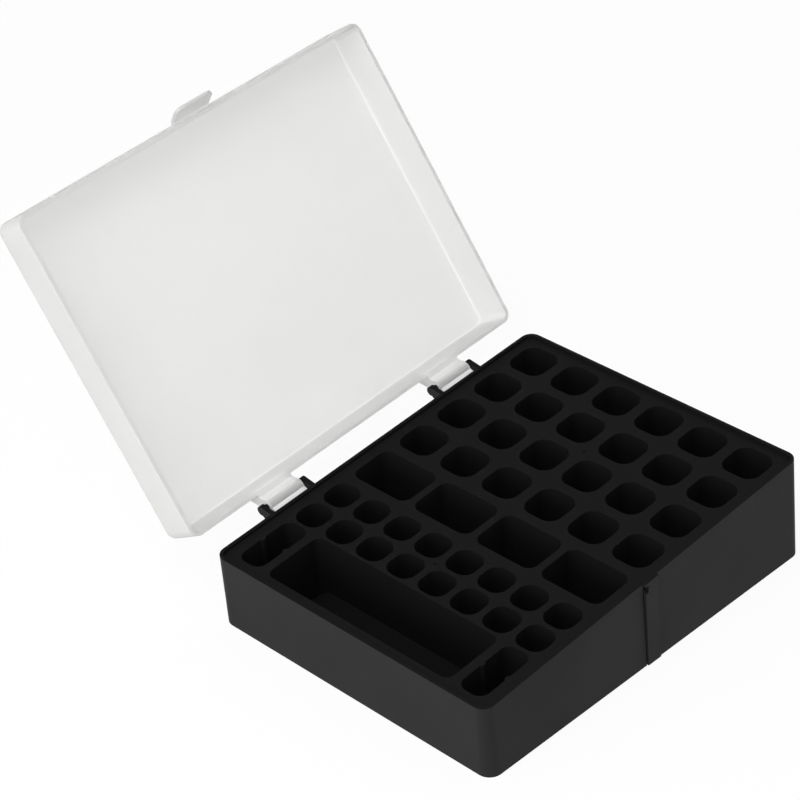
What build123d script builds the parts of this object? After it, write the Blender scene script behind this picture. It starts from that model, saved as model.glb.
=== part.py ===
"""Battery storage case: a wedge-shaped tray of cell pockets with a hinged, snap-on lid.

Two mouldings. The tray is one black part with its hinge pins moulded between ears,
and the lid clips over those pins. Millimetres and degrees, +Z up. The origin is on
the table, below the centre of the deck, and the lid is drawn open on its heels.
"""

import os
from math import cos, radians, sin, tan

from build123d import *

# ---- Driving dimensions ---------------------------------------------------------

# Cells that the case is made for
aa_length = 50.5
aaa_length = 44.5
nine_volt_length = 48.5
head_clearance = 1.1  # from a cell's top to the closed lid

# Pocket mouths: AA and AAA are square, the nine-volt pocket is oblong
aa_mouth = 16.5
aa_corner = 5.3
aa_columns = 4
aa_rows = 6
aaa_mouth = 12.8
aaa_corner = 4.8
aaa_columns = 2
aaa_rows = 8
nine_volt_mouth_x = 19.6
nine_volt_mouth_y = 28.1
nine_volt_corner = 4.1
nine_volt_rows = 4
slot_mouth_x = 26.8
slot_mouth_y = 11.7
slot_depth = 29.1
slot_nub_radius = 1.5
slot_nub_reach = 0.9
tray_mouth_x = 27.1
tray_mouth_y = 90.3
tray_depth = 26.5
square_corner = 0.8

# Webs of deck between neighbouring mouths, and the margins round them all
aa_web = 4.74
group_web = 4.65
aaa_column_web = 1.85
aaa_row_web = 2.84
nine_volt_web = 3.2
tray_web = 1.3
slot_web = 3.8
end_margin = 5.2
side_margin = 5.65

# Tray moulding
deck_thickness = 1.8
skirt_wall = 1.7
cell_wall = 1.5
floor_thickness = 1.3
floor_to_table = 0.5
lip_height = 1.27
lip_thickness = 1.35
rim_corner = 4.8
wedge_angle = 4.6
skirt_flare = 0.9
gate_mark_radius = 0.7
gate_mark_depth = 0.3

# Lid moulding
lid_depth = 18.6
lid_wall = 1.65
lid_draft = 1.0
lid_corner = 4.2
lid_edge_fillet = 2.5
lid_gap = 0.2
lid_overhang = 0.35
open_angle = 123.0

# Hinge
hinge_spread = 46.6  # each hinge's middle, either side of the case's middle
hinge_behind_rim = 5.6
hinge_below_rim = 1.4
ear_gap = 19.3
ear_thickness = 2.1
ear_below_rim = 0.5
ear_boss_radius = 1.95
pin_radius = 1.25
pin_clearance = 0.05
arm_width = 17.0
clip_radius = 3.0
clip_mouth_angle = 64.0
clip_mouth_turn = 22.0
heel_gap = 0.15
heel_top = 0.3
heel_bottom = 2.6
arm_height = 8.0
arm_thickness = 4.2

# Latch
rib_width = 7.1
rib_proud = 1.1
rib_groove = 0.45
rib_groove_depth = 0.8
rib_nick_height = 3.2
rib_nick_width = 1.5
tab_width = 18.4
tab_reach = 5.7
tab_drop = 4.9
tab_thickness = 1.45
tab_corner = 2.3
tab_clearance = 0.6

# ---- Layout of the deck ---------------------------------------------------------


def span(count, mouth, web):
    """Length of a row of mouths with webs between them."""
    return count * mouth + (count - 1) * web


aa_span_x = span(aa_columns, aa_mouth, aa_web)
aa_span_y = span(aa_rows, aa_mouth, aa_web)
aaa_span_x = span(aaa_columns, aaa_mouth, aaa_column_web)
aaa_span_y = span(aaa_rows, aaa_mouth, aaa_row_web)
nine_volt_span_y = span(nine_volt_rows, nine_volt_mouth_y, nine_volt_web)
slot_pitch = tray_mouth_y + 2 * slot_web + slot_mouth_y
tray_span_y = slot_pitch + slot_mouth_y

rim_length = (
    2 * end_margin + tray_mouth_x + tray_web + aaa_span_x + 2 * group_web + nine_volt_mouth_x + aa_span_x
)
rim_width = 2 * side_margin + max(aa_span_y, aaa_span_y, nine_volt_span_y, tray_span_y)

tray_x = -rim_length / 2 + end_margin + tray_mouth_x / 2
aaa_x = tray_x + tray_mouth_x / 2 + tray_web + aaa_span_x / 2
nine_volt_x = aaa_x + aaa_span_x / 2 + group_web + nine_volt_mouth_x / 2
aa_x = nine_volt_x + nine_volt_mouth_x / 2 + group_web + aa_span_x / 2

# Depths follow the cells and the room that the closed lid leaves above the deck
headroom = lip_height + lid_gap + lid_depth - lid_wall
aa_depth = aa_length + head_clearance - headroom
aaa_depth = aaa_length + head_clearance - headroom
nine_volt_depth = nine_volt_length + head_clearance - headroom

# The deck slopes, and stands just high enough for every pocket floor to clear the table
wedge = radians(wedge_angle)


def deck_height_for(depth, centre_x, length_x):
    """Height of the deck's middle that keeps this block's floor off the table."""
    low_end = centre_x - length_x / 2 - cell_wall
    return (depth + floor_thickness + floor_to_table) * cos(wedge) - low_end * sin(wedge)


deck_height = max(
    deck_height_for(aa_depth, aa_x, aa_span_x),
    deck_height_for(aaa_depth, aaa_x, aaa_span_x),
    deck_height_for(nine_volt_depth, nine_volt_x, nine_volt_mouth_x),
    deck_height_for(slot_depth, tray_x, slot_mouth_x),
    deck_height_for(tray_depth, tray_x, tray_mouth_x),
)
deck = Plane(
    origin=(0, 0, deck_height),
    x_dir=(cos(wedge), 0, sin(wedge)),
    z_dir=(-sin(wedge), 0, cos(wedge)),
)
skirt_drop = lip_height + deck_height + rim_length * sin(wedge)

# Hinge axis, in the deck's own directions
hinge_y = rim_width / 2 + hinge_behind_rim
hinge_z = lip_height - hinge_below_rim
hinge_point = deck.from_local_coords((0, hinge_y, hinge_z))
open_turn = radians(open_angle)
hinge_frame = Plane(
    origin=hinge_point,
    x_dir=deck.x_dir,
    z_dir=deck.y_dir * sin(open_turn) + deck.z_dir * cos(open_turn),
)

# ---- Tray -----------------------------------------------------------------------


def skirt_outline(drop, inset):
    """The tray's outline at a drop below the top of its lip, drawn in by an inset."""
    grow = drop * tan(radians(skirt_flare)) - inset
    with BuildSketch(deck.offset(lip_height - drop)) as outline:
        RectangleRounded(rim_length + 2 * grow, rim_width + 2 * grow, rim_corner + grow)
    return outline.sketch.face()


def side_plane(x):
    """Plane across the case at x: its own x runs to the back, its own y up from the deck."""
    return Plane(origin=deck.from_local_coords((x, 0, 0)), x_dir=deck.y_dir, z_dir=deck.x_dir)


def block_outline(centre_x, length_x, length_y, corner):
    """Outer outline of the wall round a group of pockets."""
    with BuildSketch(deck) as outline:
        with Locations((centre_x, 0)):
            RectangleRounded(length_x + 2 * cell_wall, length_y + 2 * cell_wall, corner + cell_wall)
    return outline.sketch


def tube_outlines(centre_x, columns, rows, mouth, web, corner):
    """Outer outlines of single tubes, bevelled so that the wall is as thick at the corners."""
    pitch = mouth + web
    with BuildSketch(deck) as tubes:
        with Locations((centre_x, 0)):
            with GridLocations(pitch, pitch, columns, rows):
                Rectangle(mouth + 2 * cell_wall, mouth + 2 * cell_wall)
        chamfer(tubes.vertices(), length=(2 - 2**0.5) * (corner + cell_wall))
    return tubes.sketch


def pocket_mouths(centre_x, columns, rows, size, web, corner):
    """Mouths of a group of like pockets, cut from the deck down."""
    pitch_x = size[0] + web[0]
    pitch_y = size[1] + web[1]
    with BuildSketch(deck) as mouths:
        with Locations((centre_x, 0)):
            with GridLocations(pitch_x, pitch_y, columns, rows):
                RectangleRounded(size[0], size[1], corner)
    return mouths.sketch


front_y = -rim_width / 2
ear_root = hinge_behind_rim + skirt_wall / 2

with BuildPart() as base_tray:
    # Flared skirt with a raised lip round the deck, hollow from below
    loft(sections=[skirt_outline(0, 0), skirt_outline(skirt_drop, 0)], ruled=True)
    extrude(skirt_outline(lip_height, lip_thickness), amount=lip_height + 1, mode=Mode.SUBTRACT)
    loft(
        sections=[
            skirt_outline(lip_height + deck_thickness, skirt_wall),
            skirt_outline(skirt_drop, skirt_wall),
        ],
        ruled=True,
        mode=Mode.SUBTRACT,
    )

    # Latch rib: upright on the flared front wall, so it runs out towards the table
    with BuildSketch(deck.offset(lip_height)):
        with Locations((0, front_y - rib_proud)):
            Rectangle(rib_width, rib_proud + skirt_wall, align=(Align.CENTER, Align.MIN))
    extrude(amount=-skirt_drop)
    with BuildSketch(deck.offset(lip_height)):
        with Locations((-(rib_width + rib_groove) / 2, front_y), ((rib_width + rib_groove) / 2, front_y)):
            Rectangle(rib_groove, 2 * rib_groove_depth)
    extrude(amount=-skirt_drop, mode=Mode.SUBTRACT)
    with BuildSketch(side_plane(-rib_width / 2)):
        with BuildLine():
            Polyline(
                (front_y - rib_proud, 0),
                (front_y + rib_groove_depth, -rib_nick_height / 4),
                (front_y - rib_proud, -rib_nick_height),
                close=True,
            )
        make_face()
    extrude(amount=rib_nick_width, mode=Mode.SUBTRACT)

    # Walls of the pockets: single tubes for the AA cells, shared blocks for the rest
    extrude(
        tube_outlines(aa_x, aa_columns, aa_rows, aa_mouth, aa_web, aa_corner),
        amount=-(aa_depth + floor_thickness),
    )
    extrude(
        block_outline(nine_volt_x, nine_volt_mouth_x, nine_volt_span_y, nine_volt_corner),
        amount=-(nine_volt_depth + floor_thickness),
    )
    extrude(
        block_outline(aaa_x, aaa_span_x, aaa_span_y, aaa_corner),
        amount=-(aaa_depth + floor_thickness),
    )
    extrude(
        block_outline(tray_x, tray_mouth_x, tray_span_y, square_corner),
        amount=-(tray_depth + floor_thickness),
    )
    with BuildSketch(deck):
        with Locations((tray_x, 0)):
            with GridLocations(0, slot_pitch, 1, 2):
                Rectangle(slot_mouth_x + 2 * cell_wall, slot_mouth_y + 2 * cell_wall)
    extrude(amount=-(slot_depth + floor_thickness))

    # Pockets
    extrude(
        pocket_mouths(aa_x, aa_columns, aa_rows, (aa_mouth, aa_mouth), (aa_web, aa_web), aa_corner),
        amount=-aa_depth,
        mode=Mode.SUBTRACT,
    )
    extrude(
        pocket_mouths(
            aaa_x,
            aaa_columns,
            aaa_rows,
            (aaa_mouth, aaa_mouth),
            (aaa_column_web, aaa_row_web),
            aaa_corner,
        ),
        amount=-aaa_depth,
        mode=Mode.SUBTRACT,
    )
    extrude(
        pocket_mouths(
            nine_volt_x,
            1,
            nine_volt_rows,
            (nine_volt_mouth_x, nine_volt_mouth_y),
            (0, nine_volt_web),
            nine_volt_corner,
        ),
        amount=-nine_volt_depth,
        mode=Mode.SUBTRACT,
    )
    extrude(
        pocket_mouths(tray_x, 1, 1, (tray_mouth_x, tray_mouth_y), (0, 0), square_corner),
        amount=-tray_depth,
        mode=Mode.SUBTRACT,
    )
    nub_centre = slot_mouth_y / 2 + slot_nub_radius - slot_nub_reach
    with BuildSketch(deck):
        with Locations((tray_x, 0)):
            with GridLocations(0, slot_pitch, 1, 2):
                RectangleRounded(slot_mouth_x, slot_mouth_y, square_corner)
                with Locations((0, -nub_centre), (0, nub_centre)):
                    Circle(slot_nub_radius, mode=Mode.SUBTRACT)
    extrude(amount=-slot_depth, mode=Mode.SUBTRACT)

    # Marks of the two gates, in the middle of the AA and of the AAA group
    with BuildSketch(deck):
        with Locations((aa_x, 0), (aaa_x, 0)):
            Circle(gate_mark_radius)
    extrude(amount=-gate_mark_depth, mode=Mode.SUBTRACT)

    # Hinge ears in pairs, with a pin moulded between each pair
    for hinge_x in (-hinge_spread, hinge_spread):
        for side in (-1, 1):
            ear_middle = hinge_x + side * (ear_gap + ear_thickness) / 2
            with BuildSketch(side_plane(ear_middle).offset(-ear_thickness / 2)):
                with BuildLine():
                    Polyline(
                        (hinge_y - ear_root, lip_height - ear_below_rim),
                        (hinge_y, hinge_z + ear_boss_radius),
                        (hinge_y + ear_boss_radius, hinge_z),
                        (hinge_y - ear_root, hinge_z - ear_root),
                        close=True,
                    )
                make_face()
                with Locations((hinge_y, hinge_z)):
                    Circle(ear_boss_radius)
            extrude(amount=ear_thickness)
        with BuildSketch(side_plane(hinge_x - ear_gap / 2 - ear_thickness / 2)):
            with Locations((hinge_y, hinge_z)):
                Circle(pin_radius)
        extrude(amount=ear_gap + ear_thickness)

    # The table plane cuts the wedge
    split(bisect_by=Plane.XY, keep=Keep.TOP)

base_tray.part.label = "base_tray"

# ---- Lid, drawn about the hinge axis and turned open ----------------------------

# In hinge_frame, x runs along the axis, y to the back and z up when the lid is closed
lid_rim_z = lip_height + lid_gap - hinge_z
clip_bore = pin_radius + pin_clearance


def lid_outline(height, inset):
    """The lid's outline at a height above its rim, drawn in by an inset."""
    draw_in = height * tan(radians(lid_draft)) + inset - lid_overhang
    with BuildSketch(hinge_frame.offset(lid_rim_z + height)) as outline:
        with Locations((0, -hinge_y)):
            RectangleRounded(rim_length - 2 * draw_in, rim_width - 2 * draw_in, lid_corner - inset)
    return outline.sketch.face()


def mouth_corner(angle):
    """A point well outside the clip, at an angle round the hinge axis."""
    return (2 * clip_radius * cos(radians(angle)), 2 * clip_radius * sin(radians(angle)))


def lid_side_plane(x):
    """Plane across the lid at x, with the hinge axis at its origin."""
    origin = hinge_frame.from_local_coords((x, 0, 0))
    return Plane(origin=origin, x_dir=hinge_frame.y_dir, z_dir=hinge_frame.x_dir)


# Places on the lid seen from the hinge axis, with y to the back and z up when closed
hinge_wall_y = lid_overhang - hinge_behind_rim
front_wall_y = -hinge_y - rim_width / 2 - lid_overhang
arm_top_z = lid_rim_z + arm_height
lid_height_axis = Axis(hinge_frame.origin, hinge_frame.z_dir)
lid_back_axis = Axis(hinge_frame.origin, hinge_frame.y_dir)
tab_shoulder_y = front_wall_y + lid_overhang - rib_proud - tab_clearance - tab_thickness / 2
tab_shoulder_z = lid_rim_z + 1.5 * tab_thickness


def tray_back_wall(z):
    """Outer face of the tray's back wall, in the deck's directions, seen from the axis."""
    return -hinge_behind_rim + (hinge_below_rim - z) * tan(radians(skirt_flare))


with BuildPart() as lid_core:
    # The room inside the cover
    loft(sections=[lid_outline(0, lid_wall), lid_outline(lid_depth - lid_wall, lid_wall)], ruled=True)
    fillet(lid_core.faces().sort_by(lid_height_axis)[-1].edges(), radius=lid_edge_fillet - lid_wall)

with BuildPart() as lid:
    # Drafted cover with a rounded top edge and an even wall
    loft(sections=[lid_outline(0, 0), lid_outline(lid_depth, 0)], ruled=True)
    fillet(lid.faces().sort_by(lid_height_axis)[-1].edges(), radius=lid_edge_fillet)
    add(lid_core.part, mode=Mode.SUBTRACT)

    # Hinge arms: a pad on the outer wall, and a clip that snaps over the tray's pin
    for hinge_x in (-hinge_spread, hinge_spread):
        with BuildSketch(lid_side_plane(hinge_x - arm_width / 2)):
            with BuildLine():
                Polyline(
                    (hinge_wall_y - lid_wall / 2, lid_rim_z),
                    (hinge_wall_y - lid_wall / 2, arm_top_z),
                    (hinge_wall_y + arm_thickness / 4, arm_top_z),
                    (hinge_wall_y + arm_thickness, lid_rim_z + arm_height / 2),
                    (pin_radius, (clip_radius**2 - pin_radius**2) ** 0.5),
                    (0, 0),
                    (-clip_radius, 0),
                    (hinge_wall_y + arm_thickness / 4, lid_rim_z),
                    close=True,
                )
            make_face()
            Circle(clip_radius)
        extrude(amount=arm_width)
        # The heel stands against the tray's back wall when the lid is open
        with BuildSketch(side_plane(hinge_x - arm_width / 2)):
            with BuildLine():
                Polyline(
                    (hinge_y + tray_back_wall(-heel_top) + heel_gap, hinge_z - heel_top),
                    (hinge_y + tray_back_wall(-heel_bottom) + heel_gap, hinge_z - heel_bottom),
                    (hinge_y - 0.5 * clip_radius, hinge_z - 0.5 * clip_radius),
                    (hinge_y, hinge_z),
                    (hinge_y - 0.9 * clip_radius, hinge_z + 0.3 * clip_radius),
                    close=True,
                )
            make_face()
        extrude(amount=arm_width)
        with BuildSketch(lid_side_plane(hinge_x - arm_width / 2)):
            Circle(clip_bore)
            with BuildLine():
                Polyline(
                    (0, 0),
                    mouth_corner(clip_mouth_turn - clip_mouth_angle / 2),
                    mouth_corner(clip_mouth_turn + clip_mouth_angle / 2),
                    close=True,
                )
            make_face()
        extrude(amount=arm_width, mode=Mode.SUBTRACT)

    # Finger tab: leaves the front wall, clears the rib and flares out
    with BuildSketch(lid_side_plane(-tab_width / 2)):
        with BuildLine():
            Polyline(
                (front_wall_y + lid_wall / 2, tab_shoulder_z + tab_thickness),
                (tab_shoulder_y, tab_shoulder_z),
                (front_wall_y - tab_reach, lid_rim_z - tab_drop),
            )
            offset(amount=tab_thickness, side=Side.LEFT)
        make_face()
    extrude(amount=tab_width)
    tip_face = lid.faces().sort_by(lid_back_axis)[0]
    fillet(tip_face.edges().sort_by(SortBy.LENGTH)[:2], radius=tab_corner)

lid.part.label = "lid"

os.makedirs("parts", exist_ok=True)
export_step(base_tray.part, "parts/base_tray.step")
export_step(lid.part, "parts/lid.step")
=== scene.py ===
"""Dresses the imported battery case: a black moulded tray and its frosted, hinged lid.

Everything is in metres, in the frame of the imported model. The case stands on z = 0, its hinge
runs along X at the back, and the deck rises by 4.6 degrees towards +X.
"""

from math import radians

import bmesh
import bpy
from bpy.props import FloatProperty, PointerProperty, StringProperty
from mathutils import Matrix, Vector


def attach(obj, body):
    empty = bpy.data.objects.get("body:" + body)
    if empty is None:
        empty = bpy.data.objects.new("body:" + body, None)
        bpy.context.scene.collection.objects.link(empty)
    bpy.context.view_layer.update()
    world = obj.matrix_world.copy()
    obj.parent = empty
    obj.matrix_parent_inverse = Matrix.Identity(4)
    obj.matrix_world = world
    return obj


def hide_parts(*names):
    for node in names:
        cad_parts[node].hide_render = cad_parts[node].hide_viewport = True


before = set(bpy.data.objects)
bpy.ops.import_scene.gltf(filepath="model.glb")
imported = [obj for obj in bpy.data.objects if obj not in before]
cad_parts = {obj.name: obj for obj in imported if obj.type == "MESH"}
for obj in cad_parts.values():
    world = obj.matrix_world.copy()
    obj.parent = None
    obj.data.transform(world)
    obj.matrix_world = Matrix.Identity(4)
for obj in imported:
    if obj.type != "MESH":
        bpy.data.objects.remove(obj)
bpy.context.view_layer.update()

bl_info = {
    "name": "Battery Storage Case",
    "version": (1, 0, 0),
    "blender": (4, 5, 0),
    "location": "View3D > Sidebar > Battery Case",
    "description": "Finishes a moulded battery tray with a frosted lid and sets its studio",
    "category": "Object",
}

MM = 0.001

# The deck's own frame: 37.524 mm up, and tilted by 4.6 degrees
DECK = Matrix.Translation((0, 0, 37.524 * MM)) @ Matrix.Rotation(radians(-4.6), 4, "Y")

# Mouths of the long tray and of the slots at its two ends, in the deck's frame
TRAY_X = -68.935 * MM
TRAY_MOUTH = (27.1 * MM, 90.3 * MM)
SLOT_Y = 54.8 * MM
SLOT_MOUTH = (26.8 * MM, 11.7 * MM)
PACKED_CORNER = 0.8 * MM

# Faces beyond these distances from the deck's centre are the skirt's outside
SKIRT_X = 87.2 * MM
SKIRT_Y = 66.5 * MM
SKIRT_CORNER = 151.2 * MM

# The point that the camera looks at
VIEW_TARGET = (-11.82 * MM, 43.36 * MM, 72.47 * MM)

# Edges sharper than this keep a crease and get the mould's edge radius
CREASE = radians(30)


def hex_colour(text):
    """Turn an sRGB hex value into the linear colour that shaders take."""
    values = [int(text.lstrip("#")[i : i + 2], 16) / 255 for i in (0, 2, 4)]
    return [v / 12.92 if v <= 0.04045 else ((v + 0.055) / 1.055) ** 2.4 for v in values] + [1.0]


def add_node(tree, kind, settings=None, links=None, **values):
    """Add a node, set its properties and socket values, and link its inputs."""
    node = tree.nodes.new(kind)
    for name, value in (settings or {}).items():
        setattr(node, name, value)
    for name, value in values.items():
        node.inputs[name.replace("_", " ")].default_value = value
    for name, output in (links or {}).items():
        tree.links.new(output, node.inputs[name])
    return node


def new_material(name):
    """Make an empty node material with its output, and return both."""
    material = bpy.data.materials.new(name)
    material.use_nodes = True
    material.node_tree.nodes.clear()
    output = add_node(material.node_tree, "ShaderNodeOutputMaterial")
    return material, output


def moulded_polystyrene(name, colour, roughness, specular):
    """Black high-impact polystyrene, moulded against spark-eroded steel.

    The eye gets a deep black with a soft, slightly grainy sheen that greys where light grazes it.
    The tray takes two copies with painted light: a darker, weaker sheen on the deck and a lighter,
    stronger sheen on the outer walls.
    """
    material, output = new_material(name)
    tree = material.node_tree
    place = add_node(tree, "ShaderNodeTexCoord").outputs["Object"]
    # The real grain is about 0.1 mm; it is drawn at 0.35 mm so that it shows.
    sparks = add_node(
        tree, "ShaderNodeTexNoise", links={"Vector": place}, Scale=1 / (0.35 * MM), Detail=2.0
    )
    # Slow flow of the plastic in the mould, over some 40 mm.
    flow = add_node(
        tree, "ShaderNodeTexNoise", links={"Vector": place}, Scale=1 / (40 * MM), Detail=3.0
    )
    gloss = add_node(
        tree,
        "ShaderNodeMapRange",
        links={"Value": flow.outputs["Fac"]},
        From_Min=0.35,
        From_Max=0.65,
        To_Min=roughness - 0.04,
        To_Max=roughness + 0.04,
    )
    bump = add_node(
        tree,
        "ShaderNodeBump",
        links={"Height": sparks.outputs["Fac"]},
        Strength=0.5,
        Distance=0.02 * MM,
    )
    plastic = add_node(
        tree,
        "ShaderNodeBsdfPrincipled",
        links={"Roughness": gloss.outputs["Result"], "Normal": bump.outputs["Normal"]},
    )
    plastic.inputs["Base Color"].default_value = hex_colour(colour)
    plastic.inputs["IOR"].default_value = 1.5
    plastic.inputs["Specular IOR Level"].default_value = specular
    tree.links.new(plastic.outputs["BSDF"], output.inputs["Surface"])
    return material


def frosted_polypropylene(name, colour, roughness, clarity):
    """Natural polypropylene, moulded with a matt surface.

    The eye gets a milky, nearly white sheet: light passes it, but shapes behind it blur away.
    """
    material, output = new_material(name)
    tree = material.node_tree
    place = add_node(tree, "ShaderNodeTexCoord").outputs["Object"]
    # Matt grain of about 0.2 mm, drawn at 0.5 mm so that it shows.
    frost = add_node(
        tree, "ShaderNodeTexNoise", links={"Vector": place}, Scale=1 / (0.5 * MM), Detail=2.0
    )
    # Natural polypropylene is a little cloudy, in patches of some 30 mm.
    cloud = add_node(
        tree, "ShaderNodeTexNoise", links={"Vector": place}, Scale=1 / (30 * MM), Detail=2.0
    )
    tint = add_node(
        tree, "ShaderNodeMix", {"data_type": "RGBA"}, links={"Factor": cloud.outputs["Fac"]}
    )
    tint.inputs["A"].default_value = hex_colour(colour)
    tint.inputs["B"].default_value = hex_colour("#F8F8F7")
    bump = add_node(
        tree,
        "ShaderNodeBump",
        links={"Height": frost.outputs["Fac"]},
        Strength=0.3,
        Distance=0.02 * MM,
    )
    plastic = add_node(
        tree,
        "ShaderNodeBsdfPrincipled",
        links={"Normal": bump.outputs["Normal"]},
        Roughness=roughness,
    )
    tree.links.new(tint.outputs["Result"], plastic.inputs["Base Color"])
    plastic.inputs["IOR"].default_value = 1.49
    plastic.inputs["Transmission Weight"].default_value = clarity
    tree.links.new(plastic.outputs["BSDF"], output.inputs["Surface"])
    return material


def merged_copy(node):
    """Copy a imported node's triangles as one closed shape with whole flat faces."""
    shape = bmesh.new()
    shape.from_mesh(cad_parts[node].data)
    bmesh.ops.remove_doubles(shape, verts=shape.verts, dist=0.001 * MM)
    bmesh.ops.dissolve_limit(
        shape, angle_limit=radians(0.2), verts=shape.verts, edges=shape.edges
    )
    if any(not edge.is_manifold for edge in shape.edges):
        raise RuntimeError(f"the merged copy of {node} isn't closed")
    return shape


def widen_corners(shape, centre, size, radius):
    """Widen the upright corners of a mouth in the deck from their packed radius.

    An arc that is scaled about the sharp corner stays a fillet between the same two walls.
    """
    for side_x in (-0.5, 0.5):
        for side_y in (-0.5, 0.5):
            place = (centre[0] + side_x * size[0], centre[1] + side_y * size[1], 0)
            corner = (DECK @ Matrix.Translation(place)).inverted()
            arc = [
                vert
                for vert in shape.verts
                if (corner @ vert.co).to_2d().length < 1.1 * PACKED_CORNER
                and (corner @ vert.co).x * side_x < 0.02 * MM
                and (corner @ vert.co).y * side_y < 0.02 * MM
            ]
            if len(arc) < 8:
                raise RuntimeError(f"found only {len(arc)} points of the corner at {place}")
            grow = radius / PACKED_CORNER
            bmesh.ops.scale(shape, vec=(grow, grow, 1), space=corner, verts=arc)


def moulded_piece(shape, node, name, body, edge_radius):
    """Make a piece that stands for a node, with the small edge radius of the mould."""
    for edge in shape.edges:
        edge.smooth = edge.calc_face_angle() < CREASE
    for face in shape.faces:
        face.smooth = True
    mesh = bpy.data.meshes.new(name)
    shape.to_mesh(mesh)
    shape.free()
    piece = bpy.data.objects.new(name, mesh)
    bpy.context.scene.collection.objects.link(piece)
    rounding = piece.modifiers.new("Mould edge radius", "BEVEL")
    rounding.width = edge_radius
    rounding.segments = 2
    rounding.limit_method = "ANGLE"
    rounding.angle_limit = CREASE
    shading = piece.modifiers.new("Flat walls stay flat", "WEIGHTED_NORMAL")
    shading.mode = "FACE_AREA"
    shading.keep_sharp = True
    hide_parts(node)
    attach(piece, body)
    return piece


class TrayFinish(bpy.types.PropertyGroup):
    """Sizes and colours of the black tray."""

    deck_colour: StringProperty(
        name="Deck colour", description="sRGB hex colour of the deck and pockets", default="#151515"
    )
    # Painted light: the walls' colour is a lighter copy of the deck's black, for the light that
    # falls on the walls more than on the deck.
    lit_wall_colour: StringProperty(
        name="Wall colour", description="sRGB hex colour of the outer walls", default="#222222"
    )
    tray_corner: FloatProperty(
        name="Tray corner",
        description="Radius of the long tray's upright corners",
        default=3.5 * MM,
        min=0.1 * MM,
        unit="LENGTH",
    )
    slot_corner: FloatProperty(
        name="Slot corner",
        description="Radius of the slots' upright corners",
        default=4.2 * MM,
        min=0.1 * MM,
        unit="LENGTH",
    )
    roughness: FloatProperty(
        name="Roughness",
        description="Roughness of the black plastic",
        default=0.55,
        min=0,
        max=1,
        subtype="FACTOR",
    )
    edge_radius: FloatProperty(
        name="Edge radius",
        description="Radius that the mould leaves on sharp edges",
        default=0.2 * MM,
        min=0,
        unit="LENGTH",
    )


class LidFinish(bpy.types.PropertyGroup):
    """Sizes and colours of the frosted lid."""

    colour: StringProperty(
        name="Colour", description="sRGB hex colour of the frosted plastic", default="#F4F4F3"
    )
    roughness: FloatProperty(
        name="Roughness",
        description="Roughness of the frosted plastic",
        default=0.5,
        min=0,
        max=1,
        subtype="FACTOR",
    )
    clarity: FloatProperty(
        name="Clarity",
        description="Share of the light that passes the plastic",
        default=0.72,
        min=0,
        max=1,
        subtype="FACTOR",
    )
    edge_radius: FloatProperty(
        name="Edge radius",
        description="Radius that the mould leaves on sharp edges",
        default=0.2 * MM,
        min=0,
        unit="LENGTH",
    )


class StudioSettings(bpy.types.PropertyGroup):
    """Floor, light and camera around the case."""

    floor_colour: StringProperty(
        name="Floor colour", description="sRGB hex colour of the paper floor", default="#F2F2F2"
    )
    floor_size: FloatProperty(
        name="Floor size", description="Side of the square floor", default=16.0, unit="LENGTH"
    )
    key_power: FloatProperty(
        name="Key power", description="Power of the large lamp above", default=9.0, unit="POWER"
    )
    left_power: FloatProperty(
        name="Left power", description="Power of the lamp on the left", default=9.0, unit="POWER"
    )
    room_light: FloatProperty(
        name="Room light", description="Strength of the even light of the room", default=0.55
    )
    view_azimuth: FloatProperty(
        name="View azimuth",
        description="Turn of the camera about the vertical; 0 looks along +Y",
        default=radians(-45.1369),
        unit="ROTATION",
    )
    view_elevation: FloatProperty(
        name="View elevation",
        description="Height angle of the camera above the floor",
        default=radians(33.6409),
        unit="ROTATION",
    )
    view_roll: FloatProperty(
        name="View roll",
        description="Tilt of the camera about its own axis",
        default=radians(-1.9888),
        unit="ROTATION",
    )
    view_distance: FloatProperty(
        name="View distance",
        description="Distance from the camera to the point that it looks at",
        default=992.38 * MM,
        unit="LENGTH",
    )
    view_lens: FloatProperty(
        name="View lens", description="Focal length on a 36 mm sensor", default=120.7068
    )


class CASE_OT_tray(bpy.types.Operator):
    """Finish the tray with its black plastic and rounded mould edges"""

    bl_idname = "case.tray"
    bl_label = "Finish Tray"

    def execute(self, context):
        finish = context.scene.tray_finish
        shape = merged_copy("base_tray")
        widen_corners(shape, (TRAY_X, 0), TRAY_MOUTH, finish.tray_corner)
        for side in (-1, 1):
            widen_corners(shape, (TRAY_X, side * SLOT_Y), SLOT_MOUTH, finish.slot_corner)
        to_deck = DECK.inverted()
        # Painted light and shade: upright faces outside the deck get material 1, a lighter,
        # glossier copy of the black that stands for the extra light on the outer walls; all other
        # faces get the darker deck copy.
        for face in shape.faces:
            upright = abs(face.normal.z) < 0.5
            middle = to_deck @ face.calc_center_median()
            x, y = abs(middle.x), abs(middle.y)
            outside = x > SKIRT_X or y > SKIRT_Y or x + y > SKIRT_CORNER
            face.material_index = 1 if upright and outside else 0
        tray = moulded_piece(
            shape, "base_tray", "tray_body", "tray", finish.edge_radius
        )
        # The two copies differ only by painted light: the deck's copy is darker with a weaker
        # sheen, and the walls' copy is lighter with a stronger sheen.
        for name, colour, specular in (
            ("shaded_deck_polystyrene", finish.deck_colour, 0.02),
            ("lit_wall_polystyrene", finish.lit_wall_colour, 0.075),
        ):
            tray.data.materials.append(
                moulded_polystyrene(name, colour, finish.roughness, specular)
            )
        return {"FINISHED"}


class CASE_OT_lid(bpy.types.Operator):
    """Finish the lid with its frosted plastic and rounded mould edges"""

    bl_idname = "case.lid"
    bl_label = "Finish Lid"

    def execute(self, context):
        finish = context.scene.lid_finish
        lid = moulded_piece(
            merged_copy("lid"), "lid", "lid_shell", "lid", finish.edge_radius
        )
        lid.data.materials.append(
            frosted_polypropylene(
                "frosted_polypropylene", finish.colour, finish.roughness, finish.clarity
            )
        )
        return {"FINISHED"}


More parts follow.
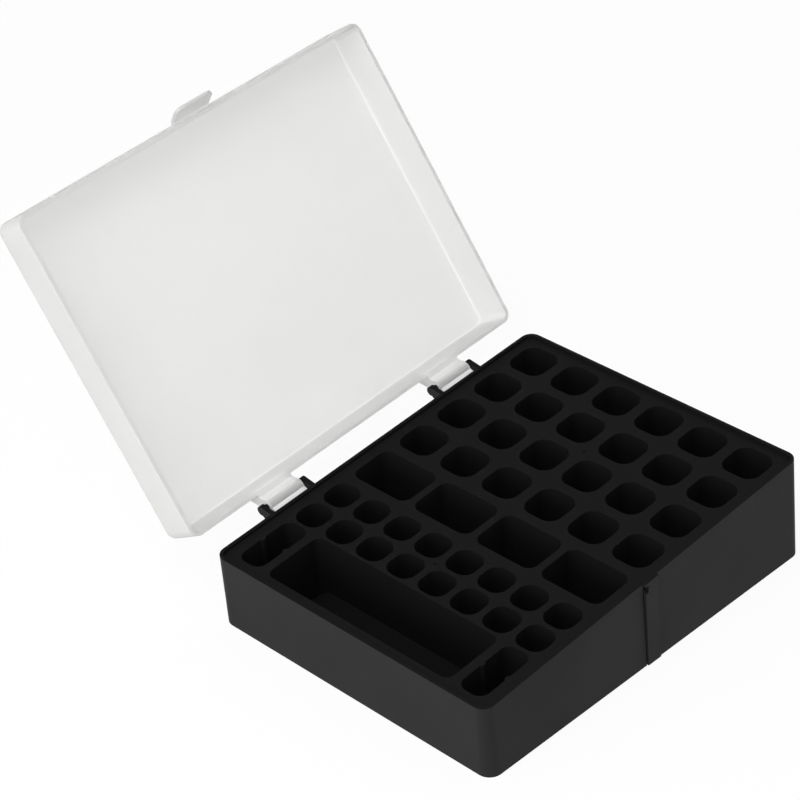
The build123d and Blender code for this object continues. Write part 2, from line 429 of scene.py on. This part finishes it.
def white_rays(tree):
    """Return 1 for the rays that show the white background: camera, glossy and transmission."""
    rays = add_node(tree, "ShaderNodeLightPath")
    mirrored = add_node(
        tree,
        "ShaderNodeMath",
        {"operation": "MAXIMUM"},
        links={0: rays.outputs["Is Camera Ray"], 1: rays.outputs["Is Glossy Ray"]},
    )
    every = add_node(
        tree,
        "ShaderNodeMath",
        {"operation": "MAXIMUM"},
        links={0: mirrored.outputs["Value"], 1: rays.outputs["Is Transmission Ray"]},
    )
    return every.outputs["Value"]


def paper_floor(name, colour):
    """Matt white paper, which a camera sees as nearly white with the object's soft shadow."""
    material, output = new_material(name)
    tree = material.node_tree
    paper = add_node(tree, "ShaderNodeBsdfDiffuse", Color=hex_colour(colour))
    glow = add_node(tree, "ShaderNodeEmission", Color=(1, 1, 1, 1), Strength=1.0)
    share = add_node(
        tree, "ShaderNodeMath", {"operation": "MULTIPLY"}, links={0: white_rays(tree)}
    )
    # The rest is the paper itself, which keeps the object's shadow.
    share.inputs[1].default_value = 0.92
    mixed = add_node(tree, "ShaderNodeMixShader", links={0: share.outputs["Value"]})
    tree.links.new(paper.outputs["BSDF"], mixed.inputs[1])
    tree.links.new(glow.outputs["Emission"], mixed.inputs[2])
    tree.links.new(mixed.outputs["Shader"], output.inputs["Surface"])
    return material


def add_lamp(name, place, aim, size, power):
    """Add a square area lamp at a place, turned towards its aim."""
    data = bpy.data.lights.new(name, "AREA")
    data.size = size
    data.energy = power
    lamp = bpy.data.objects.new(name, data)
    lamp.location = place
    lamp.rotation_euler = (Vector(aim) - Vector(place)).to_track_quat("-Z", "Y").to_euler()
    bpy.context.scene.collection.objects.link(lamp)


class CASE_OT_studio(bpy.types.Operator):
    """Set the pale floor, the soft lamps, the white room and the camera"""

    bl_idname = "case.studio"
    bl_label = "Set Studio"

    def execute(self, context):
        studio = context.scene.studio_settings
        scene = context.scene
        scene.view_settings.view_transform = "Standard"

        # Floor
        sheet = bmesh.new()
        bmesh.ops.create_grid(sheet, x_segments=1, y_segments=1, size=studio.floor_size / 2)
        mesh = bpy.data.meshes.new("paper_floor")
        sheet.to_mesh(mesh)
        sheet.free()
        floor = bpy.data.objects.new("paper_floor", mesh)
        scene.collection.objects.link(floor)
        floor.data.materials.append(paper_floor("matt_paper", studio.floor_colour))

        # Room: white where it is seen, softer where it lights the case
        world = bpy.data.worlds.new("white_room")
        scene.world = world
        world.use_nodes = True
        tree = world.node_tree
        tree.nodes.clear()
        strength = add_node(
            tree,
            "ShaderNodeMapRange",
            links={"Value": white_rays(tree)},
            To_Min=studio.room_light,
            To_Max=1.0,
        )
        room = add_node(
            tree,
            "ShaderNodeBackground",
            links={"Strength": strength.outputs["Result"]},
            Color=(1, 1, 1, 1),
        )
        result = add_node(tree, "ShaderNodeOutputWorld")
        tree.links.new(room.outputs["Background"], result.inputs["Surface"])

        # Lamps
        middle = (0, 0, 40 * MM)
        add_lamp("key_softbox", (-0.7, -0.15, 1.1), middle, 0.9, studio.key_power)
        add_lamp("left_softbox", (-1.2, -0.1, 0.25), middle, 0.9, studio.left_power)

        # Camera
        data = bpy.data.cameras.new("view_camera")
        data.sensor_width = 36
        data.lens = studio.view_lens
        camera = bpy.data.objects.new("view_camera", data)
        turn = (
            Matrix.Rotation(studio.view_azimuth, 4, "Z")
            @ Matrix.Rotation(radians(90) - studio.view_elevation, 4, "X")
            @ Matrix.Rotation(studio.view_roll, 4, "Z")
        )
        target = Matrix.Translation(VIEW_TARGET)
        camera.matrix_world = target @ turn @ Matrix.Translation((0, 0, studio.view_distance))
        scene.collection.objects.link(camera)
        scene.camera = camera
        return {"FINISHED"}


class CASE_PT_panel(bpy.types.Panel):
    """Buttons for the case's pieces and its studio"""

    bl_idname = "CASE_PT_panel"
    bl_label = "Battery Case"
    bl_space_type = "VIEW_3D"
    bl_region_type = "UI"
    bl_category = "Battery Case"

    def draw(self, context):
        layout = self.layout
        for settings, operator in (
            (context.scene.tray_finish, "case.tray"),
            (context.scene.lid_finish, "case.lid"),
            (context.scene.studio_settings, "case.studio"),
        ):
            box = layout.box()
            for name in settings.__annotations__:
                box.prop(settings, name)
            box.operator(operator)


classes = (
    TrayFinish,
    LidFinish,
    StudioSettings,
    CASE_OT_tray,
    CASE_OT_lid,
    CASE_OT_studio,
    CASE_PT_panel,
)


def register():
    for cls in classes:
        bpy.utils.register_class(cls)
    bpy.types.Scene.tray_finish = PointerProperty(type=TrayFinish)
    bpy.types.Scene.lid_finish = PointerProperty(type=LidFinish)
    bpy.types.Scene.studio_settings = PointerProperty(type=StudioSettings)


def unregister():
    del bpy.types.Scene.studio_settings
    del bpy.types.Scene.lid_finish
    del bpy.types.Scene.tray_finish
    for cls in reversed(classes):
        bpy.utils.unregister_class(cls)


def main():
    """Register the add-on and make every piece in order."""
    register()
    bpy.ops.case.tray()
    bpy.ops.case.lid()
    bpy.ops.case.studio()


if __name__ == "__main__":
    main()
